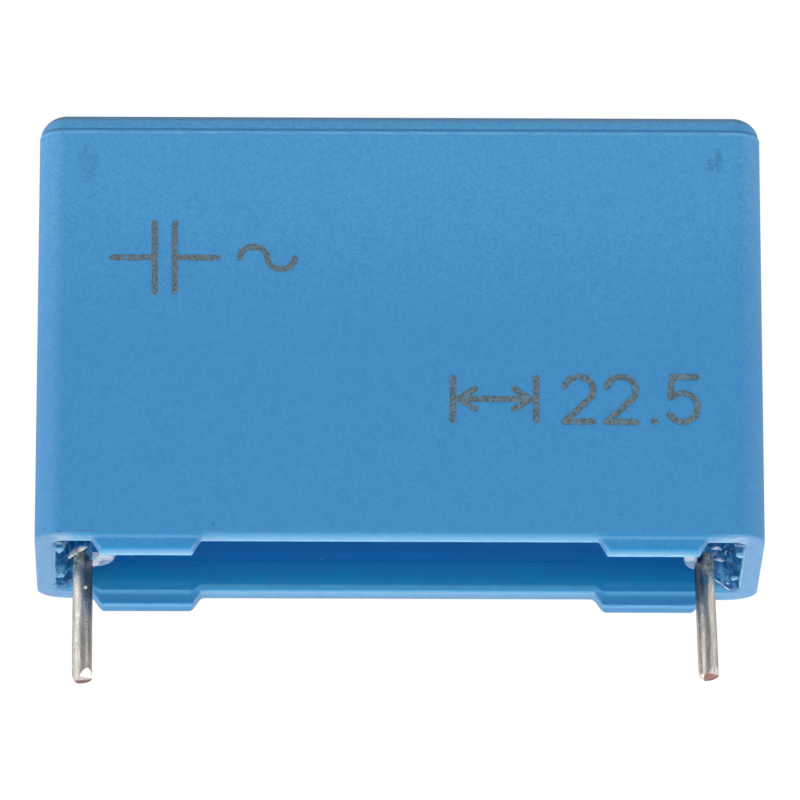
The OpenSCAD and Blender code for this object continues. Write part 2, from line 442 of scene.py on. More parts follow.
def resin_material():
    material = bpy.data.materials.new("blue_cast_resin")
    n = Nodes(material)
    where = n.position()
    x, y, z = n.axes(where)
    cloud = n.noise(where, 0.6, 3.0)
    colour = n.mix(n.ramp(cloud, 0.3, 0.7), srgb(0, 64, 127), srgb(1, 70, 134))
    # Painted light: lighter towards the back wall
    colour = n.tint(colour, n.ramp(y, 1.3, 3.0), (0, 92, 158))
    # Thicker and greener in the two ends, with dark and light mottling of painted shade and painted
    # reflection on the crinkled surface
    from_middle = n.apart(x, CASE_X)
    ends = n.ramp(from_middle, 10.2, 11.4)
    colour = n.tint(colour, ends, (0, 84, 142))
    crinkle_shade_and_glint = n.noise(n.stretch(where, (1.0, 0.6, 1.0)), 3.2, 3.0, 0.6)
    ends = n.times(ends, n.by_side(x, 1.0, 0.7))
    colour = n.tint(colour, n.times(ends, n.ramp(crinkle_shade_and_glint, 0.5, 0.36, 0.0, 0.7)), (0, 44, 80))
    colour = n.tint(colour, n.times(ends, n.ramp(crinkle_shade_and_glint, 0.5, 0.66, 0.0, 0.8)), (84, 150, 188))
    # Painted reflection: a light patch on the resin beside each lead; and painted light at the corners of the
    # ends
    edge = n.by_side(x, LEAD_PITCH / 2 - 0.355, LEAD_PITCH / 2 - 0.25)
    inboard = n.math("SUBTRACT", edge, n.math("ABSOLUTE", x))
    inboard = n.math("ADD", inboard, n.times(y, n.by_side(x, 0.22, 0.0)))
    beside = n.times(n.ramp(z, 0.95, 0.8), n.ramp(inboard, 0.0, 0.06),
                     n.ramp(n.noise(where, 3.0, 3.0), 0.3, 0.6, 0.65, 1.0))
    colour = n.tint(colour, beside, (148, 168, 198))
    corner_resin_light = n.times(n.ramp(from_middle, END_INSIDE - 0.55, END_INSIDE - 0.4),
                       n.ramp(n.math("ABSOLUTE", y), BACK_INSIDE - 0.65, BACK_INSIDE - 0.8))
    colour = n.tint(colour, n.times(corner_resin_light, n.ramp(z, 0.7, 0.6, 0.0, 0.9)), (110, 172, 214))
    uneven = n.ramp(n.noise(where, 4.0, 2.0), 0.35, 0.6, 0.35, 0.95)
    # Painted highlights along the ridges' crests, and painted glints
    for a, b, crest, half, tone in RESIN_RIDGES:
        top = n.ramp(z, RIM_Z + crest + 3 * half, RIM_Z + crest + half)
        colour = n.tint(colour, n.times(along_line(n, x, y, a, b, half), top, uneven), tone)
    for a, b, half in RESIN_GLINTS:
        colour = n.tint(colour, n.times(along_line(n, x, y, a, b, half), uneven), WHITISH)
    colour = n.tint(colour, n.specks(where, 1.6, 0.07), (120, 170, 205))
    n.principled(Base_Color=colour, Roughness=n.ramp(cloud, 0.3, 0.7, 0.03, 0.07), IOR=1.22,
                 Normal=n.bump(n.noise(where, 1.6, 2.0), 0.015, 0.3))
    return material


# Painted glints on the left wire's front: x, z and radius
WIRE_GLINT_DOTS = [(-11.41, -1.42, 0.09), (-11.42, -1.72, 0.06), (-11.44, -2.35, 0.06), (-11.12, -0.4, 0.08)]


def tin_material():
    material = bpy.data.materials.new("dull_tinned_wire")
    n = Nodes(material)
    where = n.position()
    x, y, z = n.axes(where)
    streak = n.noise(n.stretch(where, (1.0, 1.0, 0.12)), 9.0, 4.0, 0.6)
    cloud = n.noise(where, 2.2, 3.0)
    grain = n.noise(where, 16.0, 3.0, 0.6)
    patch = n.noise(where, 3.4, 3.0)
    colour = n.mix(n.ramp(streak, 0.35, 0.7), srgb(178, 174, 168), srgb(212, 209, 203))
    colour = n.tint(colour, n.ramp(cloud, 0.45, 0.75, 0.0, 0.4), (166, 161, 152))
    colour = n.tint(colour, n.ramp(grain, 0.5, 0.75, 0.0, 0.6), (140, 135, 128))
    # Towards the middle each wire gets painted shade near the resin, and is tarnished brown along a narrow
    # strip
    from_centre = n.math("ABSOLUTE", x)
    lean = n.by_side(x, 0.0, math.tan(math.radians(RIGHT_LEAN)))
    axis = n.math("ADD", n.times(n.math("SUBTRACT", RIM_Z, z), lean), LEAD_PITCH / 2)
    inboard = n.math("SUBTRACT", axis, from_centre)
    colour = n.tint(colour, n.ramp(inboard, 0.14, 0.26, 0.0, 0.7), (208, 180, 154))
    inner_side_shade = n.times(n.ramp(inboard, -0.02, 0.14), n.ramp(n.math("ADD", z, patch), -0.9, -0.1))
    colour = n.tint(colour, inner_side_shade, (84, 90, 98), 0.7)
    # A thin skin of resin dulls the wire where it comes out, mostly on its outer side
    skin = n.ramp(n.math("ADD", z, n.times(cloud, 1.2)), 0.65, 1.05)
    outer = n.math("ADD", from_centre, n.times(patch, 0.3))
    skin = n.times(skin, n.ramp(outer, LEAD_PITCH / 2, LEAD_PITCH / 2 + 0.25, 0.1, 1.0))
    thickness = n.ramp(n.noise(where, 6.0, 3.0, 0.6), 0.4, 0.6)
    film = n.mix(thickness, srgb(62, 90, 104), srgb(164, 180, 180))
    colour = n.mix(n.times(skin, 0.85), colour, film)
    # Painted glints: small bright dots over the wires, not metallic
    wire_glints = n.specks(where, 2.0, 0.16)
    front = n.ramp(y, 0.0, -0.1)
    for dot_x, dot_z, radius in WIRE_GLINT_DOTS:
        far = n.math("SQRT", n.squares(n.math("SUBTRACT", x, dot_x), n.math("SUBTRACT", z, dot_z)))
        wire_glints = n.math("MAXIMUM", wire_glints, n.times(n.ramp(far, radius, radius * 0.5), front))
    colour = n.tint(colour, wire_glints, (236, 236, 232))
    metallic = n.times(n.ramp(skin, 0.0, 1.0, 1.0, 0.3), n.math("SUBTRACT", 1.0, wire_glints))
    # The left wire is the duller of the two
    roughness = n.math("ADD", n.ramp(cloud, 0.3, 0.7, 0.14, 0.26), n.by_side(x, 0.08, 0.0))
    height = n.math("ADD", n.times(streak, 0.7), n.times(grain, 0.3))
    n.principled(Base_Color=colour, Metallic=metallic, Roughness=roughness,
                 Normal=n.bump(height, 0.03, 0.85))
    return material


def cut_material(name, dark, light, roughness, lines, far_edge=0.2):
    """A face left by the cutter, with fine lines along the cut and brown beyond its far edge."""
    material = bpy.data.materials.new(name)
    n = Nodes(material)
    where = n.position()
    y = n.axes(where)[1]
    grain = n.noise(n.stretch(where, (1.0, 1.0, lines)), 10.0, 3.0)
    colour = n.mix(n.ramp(grain, 0.3, 0.7), srgb(*dark), srgb(*light))
    colour = n.tint(colour, n.ramp(y, far_edge, far_edge + 0.1), (104, 72, 66))
    n.principled(Base_Color=colour, Metallic=1.0, Roughness=roughness, Normal=n.bump(grain, 0.006, 0.4))
    return material


def inner_material(name, dark, light, metallic, roughness, scale):
    """A finish for the pieces sealed in the resin: clouds of two tones with a fine grain."""
    material = bpy.data.materials.new(name)
    n = Nodes(material)
    cloud = n.noise(n.position(), scale, 4.0, 0.6)
    colour = n.mix(n.ramp(cloud, 0.3, 0.7), srgb(*dark), srgb(*light))
    n.principled(Base_Color=colour, Metallic=metallic, Roughness=roughness, Normal=n.bump(cloud, 0.05, 0.5))
    return material


def mark_material():
    """Laser marking: the plastic burnt to a speckled grey."""
    material = bpy.data.materials.new("laser_marking")
    n = Nodes(material)
    where = n.position()
    speckle = n.noise(where, 11.0, 3.0, 0.7)
    fleck = n.noise(where, 5.0, 2.0)
    colour = n.mix(n.ramp(speckle, 0.38, 0.62), srgb(60, 80, 90), srgb(98, 117, 126))
    colour = n.tint(colour, n.ramp(fleck, 0.56, 0.72, 0.0, 0.7), (66, 134, 184))
    n.principled(Base_Color=colour, Roughness=n.ramp(fleck, 0.3, 0.7, 0.55, 0.7),
                 Normal=n.bump(speckle, 0.02, 0.6))
    return material


# Case

# Over how much to both sides a foot's corners are eased
EASED_OUTSIDE = 0.13
EASED_INSIDE = 0.05
# Shape of the parting line and its bead: depth, height, and width in degrees of the rounding
GROOVE_DEPTH = 0.06
BEAD_HEIGHT = 0.012
LINE_WIDTH = 2.2
# The rim and the feet's bottoms are crowned, so they curve up a little towards the outside: rise and width
RIM_CROWN_H = 0.045
END_CROWN_W = 0.3
RIM_CROWN_W = 0.46
FOOT_CROWN_H = 0.02
FOOT_CROWN_W = 0.4
# How much rounder the front wall's edges are than the back's
FRONT_ROUNDER = 1.9
# How much rounder the inner edge is along the bare rim than at the ends
RIM_ROUNDER = 0.1
# The step from the wall to a foot outside: how far in from the wall, and height
OUTER_STEP = [(0.0, 0.5), (0.01, 0.462), (0.03, 0.43), (0.055, 0.395), (0.08, 0.35), (0.08, 0.05)]
# A foot's inner side from the bottom up to the wall: how far outwards from the bevel's edge, and height
INNER_STEP = [(0.05, 0), (0.03, 0), (0.012, 0.006), (0.002, 0.022), (0, 0.05), (0, 0.36),
              (-0.012, 0.38), (-0.06, 0.41), (-0.11, 0.44), (-0.15, 0.475), (-0.15, 0.5)]
# Walls are wet with resin inwards from this height on the bevel
WET_FROM = RIM_Z + 0.015


def foot_share(x, soft):
    """How much of a foot stands at x along a long wall: 0 at the bare rim, 1 over the foot's bottom.

    Each end of a foot is a straight slope, whose two corners are eased over a short length."""
    def eased(d):
        return np.clip(d + soft, 0, 2 * soft) ** 2 / (4 * soft) + np.clip(d - soft, 0, None)

    def slope(d):
        return (eased(d) - eased(d - FOOT_LEAN)) / FOOT_LEAN

    return float(np.minimum(slope(abs(x) - FOOT_NEAR), slope(FOOT_FAR - abs(x))))


def wall_stations():
    """Places around the case: core point (x, y outside, y inside), outward direction, and the share of a
    foot outside and inside. They lie close together along the slopes of the feet."""
    close, around, clear = 0.02, 0.16, 0.25
    half = list(np.arange(0, FOOT_NEAR - 0.2, 0.6))
    half += list(np.arange(FOOT_NEAR - around, FOOT_NEAR + FOOT_LEAN + around, close))
    half += list(np.linspace(FOOT_NEAR + FOOT_LEAN + clear, FOOT_FAR - FOOT_LEAN - clear, 8))
    half += list(np.arange(FOOT_FAR - FOOT_LEAN - around, FOOT_FAR + around, close))
    half += list(np.linspace(FOOT_FAR + clear, CORE_X, 5))
    xs = np.array([-x for x in reversed(half[1:])] + half)
    turns = quarter_turn(16)[1:-1]
    no_foot = (0, 0)
    stations = []
    for sign in (-1, 1):
        y_out, y_in = sign * CORE_Y, sign * CORE_Y_INSIDE
        end = -sign * CORE_X
        for x in -sign * xs:
            shares = (foot_share(x, EASED_OUTSIDE), foot_share(x, EASED_INSIDE))
            stations.append((x, y_out, y_in, (0, sign), shares))
        for turn in turns:
            out = (-sign * math.sin(turn), sign * math.cos(turn))
            stations.append((end, y_out, y_in, out, no_foot))
        for t in np.linspace(1, -1, 15):
            stations.append((end, t * y_out, t * y_in, (-sign, 0), no_foot))
        for turn in turns:
            out = (-sign * math.cos(turn), -sign * math.sin(turn))
            stations.append((end, -y_out, -y_in, out, no_foot))
    return stations


def outer_r(z):
    return EDGE_R - max(z - RIM_Z, 0) * math.tan(DRAFT)


def inner_r(z):
    return INNER_R - max(z - RIM_Z, 0) * math.tan(DRAFT)


def wall_profile():
    """Section of the wall from the top's edge, down the outside, round the rim and up the inside.

    Each row says whether it lies outside, then r and z at the ends, over the long walls' bare rim and over
    a foot, with r measured outwards from the core points."""
    rows = []

    def plain(outside, r, z):
        rows.append((outside, (r, z), (r, z), (r, z)))

    # The mould's parting line is a fine groove low on the top's rounding, with a bead under it
    centre_z = CASE_H - TOP_R
    centre_r = EDGE_R - (centre_z - RIM_Z) * math.tan(DRAFT) - TOP_R / math.cos(DRAFT)
    groove_at = math.degrees(math.asin((PARTING_Z - centre_z) / TOP_R))
    bead_at = math.degrees(math.asin((BEAD_Z - centre_z) / TOP_R))
    angles = [90, 85, 79, 72, 65, 58, 51, 45, 39, 34, 30, 27, 25, 24]
    angles += list(np.arange(23.3, 0.5, -0.6)) + [math.degrees(DRAFT)]
    for angle in angles:
        groove = -GROOVE_DEPTH * math.exp(-((angle - groove_at) / LINE_WIDTH) ** 2)
        lip = BEAD_HEIGHT * math.exp(-((angle - bead_at) / LINE_WIDTH) ** 2)
        a = math.radians(angle)
        r = TOP_R + groove + lip
        plain(True, centre_r + r * math.cos(a), centre_z + r * math.sin(a))
    for z in (15.4, 14.6, 13, 11, 9, 7, 5, 3, 1.6, 0.9, 0.7):
        plain(True, outer_r(z), z)

    # Outer edge, crowned
    ends, rim = [], []
    for a in quarter_turn(17):
        z = RIM_Z + RIM_CROWN_H * (1 - math.sin(a))
        ends.append((EDGE_R - END_CROWN_W * (1 - math.cos(a)), z))
        rim.append((EDGE_R - RIM_CROWN_W * (1 - math.cos(a)), z))
    foot = [(EDGE_R - inwards, z) for inwards, z in OUTER_STEP]
    face = foot[-1][0]
    for a in quarter_turn(11):
        foot.append((face - FOOT_CROWN_W * (1 - math.cos(a)), FOOT_CROWN_H * (1 - math.sin(a))))
    rows += [(True, *row) for row in zip(ends, rim, foot)]

    # Inner edge: rounded, more so along the bare rim, and stepped above a foot
    flat = INNER_R + RIM_BEVEL
    ends, rim = [(0.05, RIM_Z), (0.02, RIM_Z)], [(0.13, RIM_Z), (0.115, RIM_Z)]
    for a in quarter_turn(8):
        over, up = math.sin(a), 1 - math.cos(a)
        ends.append((-RIM_BEVEL * over, RIM_Z + RIM_BEVEL * up))
        rim.append((RIM_ROUNDER - (RIM_BEVEL + RIM_ROUNDER) * over, RIM_Z + (RIM_BEVEL + RIM_ROUNDER) * up))
    for row in zip(ends, rim, INNER_STEP):
        rows.append((False, *((flat + r, z) for r, z in row)))
    for z in (0.9, 1.05, 1.2, 1.7, 2.4, CAVITY_TOP):
        plain(False, inner_r(z), z)
    return rows


def drawn_in(x, y):
    """How far a point of the case moves towards the middle, because the ends draw in towards the back."""
    at_end = fade(abs(x), CASE_L / 2 - 1.7, CASE_L / 2 - 0.9)
    most = RIGHT_DRAWN_IN if x > 0 else LEFT_DRAWN_IN
    return math.copysign(at_end * most * (y / CASE_W + 0.5), x)


def build_case(plastic, inside):
    stations = wall_stations()
    profile = wall_profile()
    count = len(stations)
    verts, faces = [], []
    for outside, *points in profile:
        end, rim, foot = np.array(points)
        for x, y_out, y_in, out, shares in stations:
            bare = end + (rim - end) * out[1] ** 2 * (FRONT_ROUNDER if out[1] < 0 else 1)
            r, z = bare + (foot - bare) * shares[0 if outside else 1]
            along, across = x + r * out[0], (y_out if outside else y_in) + r * out[1]
            verts.append((CASE_X + along - drawn_in(along, across), across, z))
    slots = []
    for row, (outside, end, _, _) in enumerate(profile[:-1]):
        low, high = row * count, (row + 1) * count
        for i in range(count):
            j = (i + 1) % count
            faces.append((low + i, low + j, high + j, high + i))
        slots += [int(not outside and end[1] > WET_FROM)] * count
    # The closed top, and the cavity's end
    last = (len(profile) - 1) * count
    faces += [tuple(range(count))[::-1], tuple(range(last, last + count))]
    slots += [0, 1]
    case = make_object("moulded_case", verts, faces, plastic, inside)
    for polygon, slot in zip(case.data.polygons, slots):
        polygon.material_index = slot
    face_outwards(case)
    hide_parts("case")
    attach(case, "root")


# Resin

# Drops left on the end walls
RESIN_DROPS = [(12.5, -1.25), (12.42, 1.8), (-12.05, -1.65), (-12.05, 1.7)]
# Rounded outline of the shelf beside each lead: centre (distance outwards from the lead, y) and reach
SHELF = {-1: ((-0.35, -0.4), (0.78, 1.14)), 1: ((-0.3, -0.66), (0.435, 1.53))}
# How high the crinkles in the left and the right end are
LEFT_CRINKLE = 0.08
RIGHT_CRINKLE = 0.05
# The resin reaches a hair into the walls, and its plug ends at this height, out of sight
INTO_WALL = 0.02
PLUG_TOP = 2.7
# The resin stays at least this far inside the rim
LEAST_DEPTH = 0.02


def mound(top, slope, away, flat=0.0):
    """Depth of a mound of resin: its top's depth over the flat part, then falling off with a slope."""
    return top + slope * np.clip(away - flat, 0, None)


def off_line(x, y, a, b):
    """Distance of points in plan from the line between a and b."""
    dx, dy = b[0] - a[0], b[1] - a[1]
    share = np.clip(((x - a[0]) * dx + (y - a[1]) * dy) / (dx * dx + dy * dy), 0, 1)
    return np.hypot(x - a[0] - share * dx, y - a[1] - share * dy)


def noise_over(x, y, scale, seed):
    """Smooth noise over points in plan."""
    values = [noise.noise(Vector((a * scale[0], b * scale[1], seed))) for a, b in zip(x.ravel(), y.ravel())]
    return np.array(values).reshape(x.shape)


def resin_depth(x, y):
    """Depth of the resin's open face below the rim: a level pool, drawn up at the ends, corners and leads."""
    from_end = END_INSIDE - np.abs(x - CASE_X)
    from_side = BACK_INSIDE - np.abs(y)
    from_corner = np.hypot(from_end, from_side)
    depth = blend_low(np.full_like(x, RESIN_DEPTH), 0.06 + 1.5 * from_end, width=0.2)
    depth = blend_low(depth, mound(top=0.04, slope=0.74, away=from_corner, flat=0.42), width=0.06)
    for side in (-1, 1):
        # A low shelf towards the middle, and a steep skin round the rest of the wire
        out = side * x - LEAD_PITCH / 2
        centre, reach = SHELF[side]
        beyond = np.hypot((out - centre[0]) / reach[0], (y - centre[1]) / reach[1]) - 1
        shelf = mound(top=0.17 + 0.05 * y, slope=1.3, away=beyond)
        skin = mound(top=0.5, slope=0.9, away=np.hypot(out, y), flat=LEAD_R)
        inboard = fade(-out, 0.0, 0.3)
        depth = blend_low(depth, skin + (shelf - skin) * inboard, width=0.12)
    for a, b, crest, half, _ in RESIN_RIDGES:
        off = off_line(x, y, a, b)
        depth = blend_low(depth, mound(top=crest, slope=2.0, away=off, flat=0.4 * half), width=0.08)
    for drop_x, drop_y in RESIN_DROPS:
        off = np.hypot(x - drop_x, (y - drop_y) * 0.6)
        depth = blend_low(depth, mound(top=0.1, slope=2.0, away=off, flat=0.12), width=0.08)
    # It wets the long walls a little
    depth = depth - 0.03 * np.exp(-np.clip(from_side, 0, None) / 0.08)
    # Crinkled where it was drawn up into the ends, but not close to a lead
    crinkled = fade(from_end, 2.4, 1.4) * fade(np.hypot(np.abs(x) - LEAD_PITCH / 2, y), 0.4, 0.7)
    outboard = fade(np.abs(x), LEAD_PITCH / 2 - 0.3, LEAD_PITCH / 2 + 0.2)
    slow = noise_over(x, y, (2.1, 2.1), seed=3.7)
    quick = noise_over(x, y, (4.6, 3.4), seed=8.1)
    crinkle = np.where(x < 0, LEFT_CRINKLE, RIGHT_CRINKLE)
    return np.maximum(depth + crinkled * outboard * (0.03 * slow + crinkle * quick), LEAST_DEPTH)


def build_resin(material):
    end = END_INSIDE + INTO_WALL
    side = BACK_INSIDE + INTO_WALL
    # Coarse along the level pool, and fine towards the ends
    pool = 7.0
    half = list(np.arange(0, pool, 0.25)) + list(np.linspace(pool, end, 120))
    xs = CASE_X + np.array([-x for x in reversed(half[1:])] + half)
    ys = np.linspace(-side, side, 141)
    grid_x, grid_y = np.meshgrid(xs, ys, indexing="ij")
    grid_z = RIM_Z + resin_depth(grid_x, grid_y)
    verts = list(zip(grid_x.ravel(), grid_y.ravel(), grid_z.ravel()))
    columns, rows = len(xs), len(ys)
    faces = [(i * rows + j, i * rows + j + 1, (i + 1) * rows + j + 1, (i + 1) * rows + j)
             for i in range(columns - 1) for j in range(rows - 1)]
    # Sides and back of the plug, out of sight inside the case
    border = [i * rows for i in range(columns)] + [(columns - 1) * rows + j for j in range(1, rows)]
    border += [i * rows + rows - 1 for i in range(columns - 2, -1, -1)] + list(range(rows - 2, 0, -1))
    first, count = len(verts), len(border)
    verts += [(verts[i][0], verts[i][1], PLUG_TOP) for i in border]
    for k in range(count):
        following = (k + 1) % count
        faces.append((border[k], border[following], first + following, first + k))
    faces.append(tuple(range(first, first + count)))
    resin = make_object("cast_resin", verts, faces, material)
    face_outwards(resin)
    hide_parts("potting_resin")
    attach(resin, "root")


# Leads

# Cuts at each tip: the way the cut looks (degrees from the front to the right), its tilt from upright,
# how deep it lies in the wire at a height above the tip, and its material
TIN, SHEARED, SHEARED_GREY, PALE, COPPER = range(5)
LEFT_TIP = [
    (35, 21.4, 0.0, 0.51, SHEARED),
    (40, 81.5, 0.362, 0.14, PALE),
    (-90, 18.4, 0.0, 0.32, TIN),
    (-90, 68.7, 0.065, 0.125, TIN),
]
RIGHT_TIP = [
    (42, 18.7, 0.0, 0.478, SHEARED_GREY),
    (45, 80, 0.362, 0.12, COPPER),
    (-90, 17.3, 0.0, 0.302, TIN),
    (-90, 63.4, 0.047, 0.151, TIN),
    (-40, 80, 0.005, 0.14, SHEARED),
]
# Facets around a wire, spacing of its rings, and the angle from which an edge is sharp
WIRE_FACETS = 64
RING_SPACING = 0.06
SHARP = math.radians(15)
# Depth of a wire's dents, and how often they come around it and along it
DENT_DEPTH = 0.01
DENTS_AROUND = 1.6
DENTS_ALONG = 1.4
# How far the flat reaches down into the neck, and the bevel of its edges
FLAT_OVERLAP = 0.2
FLAT_BEVEL = 0.04


def build_lead(name, node, side, below, cuts, materials, seed, shift=0.0, lean=0.0):
    """A round wire with small dents, a sheared tip, a neck and the flat that is welded inside.

    It stands a hair's shift towards the middle and, below the rim, leans outwards by some degrees."""
    bm = bmesh.new()
    levels = list(np.arange(-below, RIM_Z, RING_SPACING)) + [RIM_Z, RIM_Z + 0.6, RIM_Z + NECK_H]
    rings = []
    for z in levels:
        r = LEAD_R if z <= RIM_Z else LEAD_R + (FLAT_T / 2 - LEAD_R) * (z - RIM_Z) / NECK_H
        ring = []
        for k in range(WIRE_FACETS):
            a = 2 * math.pi * k / WIRE_FACETS
            where = (seed + DENTS_AROUND * math.cos(a), DENTS_AROUND * math.sin(a), z * DENTS_ALONG)
            dent = DENT_DEPTH * min(noise.noise(Vector(where)), 0)
            ring.append(bm.verts.new(((r + dent) * math.cos(a), (r + dent) * math.sin(a), z)))
        rings.append(ring)
    for low, high in zip(rings, rings[1:]):
        for k in range(WIRE_FACETS):
            following = (k + 1) % WIRE_FACETS
            bm.faces.new((low[k], low[following], high[following], high[k]))
    bm.faces.new(rings[0][::-1]).material_index = COPPER
    bm.faces.new(rings[-1])

    for turn, tilt, depth, height, slot in cuts:
        turn, tilt = math.radians(turn), math.radians(tilt)
        out = Vector((math.sin(turn), -math.cos(turn), 0))
        point = out * (LEAD_R - depth) + Vector((0, 0, height - below))
        plane = out * math.cos(tilt) - Vector((0, 0, math.sin(tilt)))
        geometry = bm.verts[:] + bm.edges[:] + bm.faces[:]
        cut = bmesh.ops.bisect_plane(bm, geom=geometry, plane_co=point, plane_no=plane, clear_outer=True)
        edges = [e for e in cut["geom_cut"] if isinstance(e, bmesh.types.BMEdge)]
        for face in bmesh.ops.contextual_create(bm, geom=edges)["faces"]:
            face.material_index = slot

    # The flat inside the resin
    flat = bmesh.ops.create_cube(bm, size=1.0)["verts"]
    low, high = RIM_Z + NECK_H - FLAT_OVERLAP, FLAT_TOP
    for v in flat:
        v.co = Vector((v.co.x * FLAT_T, v.co.y * FLAT_W, (low + high) / 2 + v.co.z * (high - low)))
    edges = [e for e in bm.edges if all(v in flat for v in e.verts)]
    bmesh.ops.bevel(bm, geom=edges, offset=FLAT_BEVEL, segments=2, affect="EDGES")

    bmesh.ops.recalc_face_normals(bm, faces=bm.faces)
    for face in bm.faces:
        face.smooth = True
    for edge in bm.edges:
        if len(edge.link_faces) == 2 and edge.calc_face_angle() > SHARP:
            edge.smooth = False
    for v in bm.verts:
        leant = max(RIM_Z - v.co.z, 0) * math.tan(math.radians(lean))
        v.co = (v.co + Vector((side * (LEAD_PITCH / 2 - shift + leant), 0, 0))) * MM
    mesh = bpy.data.meshes.new(name)
    bm.to_mesh(mesh)
    bm.free()
    lead = add_object(name, mesh, materials)
    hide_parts(node)
    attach(lead, "root")


# Marking: the sign for a capacitor, the sign for alternating current and the pitch of the leads

# Width of a stroke, how far it stands off the face, how far strokes that cross lie apart, the spacing of
# its points, and how much and how often its edges waver
STROKE_W = 0.22
STROKE_LIFT = 0.008
STROKE_LAYER = 0.0005
STROKE_STEP = 0.04
STROKE_WAVER = 0.26
WAVER_SCALE = 13


def arc(centre, radius, start, end, steps=20):
    """Points of an arc, with angles in degrees."""
    angles = np.radians(np.linspace(start, end, steps))
    return [(centre[0] + radius[0] * math.cos(a), centre[1] + radius[1] * math.sin(a)) for a in angles]


def digit_strokes(digit):
    """Strokes of a plain 2, 5 or point, for figures 0.62 wide and 1 high."""
    if digit == "2":
        return [arc((0.31, 0.7), (0.31, 0.3), 165, -35) + [(0.0, 0.0)], [(0.0, 0.0), (0.62, 0.0)]]
    if digit == "5":
        return [[(0.58, 1.0), (0.07, 1.0)], [(0.07, 1.0), (0.03, 0.54)],
                [(0.03, 0.54)] + arc((0.29, 0.32), (0.32, 0.32), 128, -150)]
    return [[(0.1, 0.0), (0.12, 0.02)]]


def mark_strokes():
    """All strokes on the front face, as lists of (x, z)."""
    # Two leads and two plates
    x, z = -8.3, 10.9
    gap, arm, plate = 0.36, 1.9, 1.3
    strokes = [[(x - arm, z), (x - gap, z)], [(x + gap, z), (x + arm, z)]]
    strokes += [[(x + side, z - plate), (x + side, z + plate)] for side in (-gap, gap)]
    # One wave
    x = -4.6
    wave = (0.5, 0.42)
    crest = arc((x - wave[0], z), wave, 180, 0, 14)
    trough = arc((x + wave[0], z), wave, 180, 360, 14)
    strokes.append(crest + trough[1:])
    # A dimension arrow and the pitch
    x, z, height = 3.6, 5.6, 1.7
    half, bar, tip = 1.5, 0.8, 0.2
    barb, rise = 0.8, 0.38
    for sign in (-1, 1):
        strokes.append([(x + sign * half, z - bar), (x + sign * half, z + bar)])
        strokes.append([(x + sign * (half - barb), z + rise), (x + sign * (half - tip), z)])
        strokes.append([(x + sign * (half - barb), z - rise), (x + sign * (half - tip), z)])
    strokes.append([(x - half + tip, z), (x + half - tip, z)])
    pen, narrow, wide = x + half + 1.0, 0.42, 0.9
    for digit in "22.5":
        for stroke in digit_strokes(digit):
            strokes.append([(pen + px * height, z + (pz - 0.5) * height) for px, pz in stroke])
        pen += (narrow if digit == "." else wide) * height
    return strokes


def build_marks(material):
    """Thin ribbons just off the front face, with slightly uneven edges."""
    verts, faces = [], []
    for number, stroke in enumerate(mark_strokes()):
        off_face = STROKE_LIFT + STROKE_LAYER * number
        points = [np.array(stroke[0])]
        for a, b in zip(stroke, stroke[1:]):
            a, b = np.array(a), np.array(b)
            parts = max(1, int(np.linalg.norm(b - a) / STROKE_STEP))
            points += [a + (b - a) * (k + 1) / parts for k in range(parts)]
        points = np.array(points)
        along = np.gradient(points, axis=0)
        along /= np.linalg.norm(along, axis=1)[:, None]
        # Round ends, as the beam leaves them
        caps = np.radians((90, 60, 30))
        centres = [points[0]] * len(caps) + list(points) + [points[-1]] * len(caps)
        dirs = [along[0]] * len(caps) + list(along) + [along[-1]] * len(caps)
        reach = [-math.sin(t) for t in caps] + [0] * len(points) + [math.sin(t) for t in caps[::-1]]
        spread = [math.cos(t) for t in caps] + [1] * len(points) + [math.cos(t) for t in caps[::-1]]
        first = len(verts)
        for c, d, e, s in zip(centres, dirs, reach, spread):
            middle = c + d * e * STROKE_W / 2
            across = np.array((-d[1], d[0]))
            for sign in (-1, 1):
                seed = sign * 5.3
                waver = noise.noise(Vector((middle[0] * WAVER_SCALE, middle[1] * WAVER_SCALE, seed)))
                x, z = middle + sign * across * STROKE_W / 2 * s * (1 + STROKE_WAVER * waver)
                verts.append((x, -(CORE_Y + outer_r(z)) - off_face, z))
        for k in range(len(centres) - 1):
            a = first + 2 * k
            faces.append((a, a + 2, a + 3, a + 1))
    marks = make_object("laser_marks", verts, faces, material)
    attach(marks, "root")


# Light, floor and camera

WHITE = (1, 1, 1, 1)


def grey(level):
    return (level, level, level, 1)


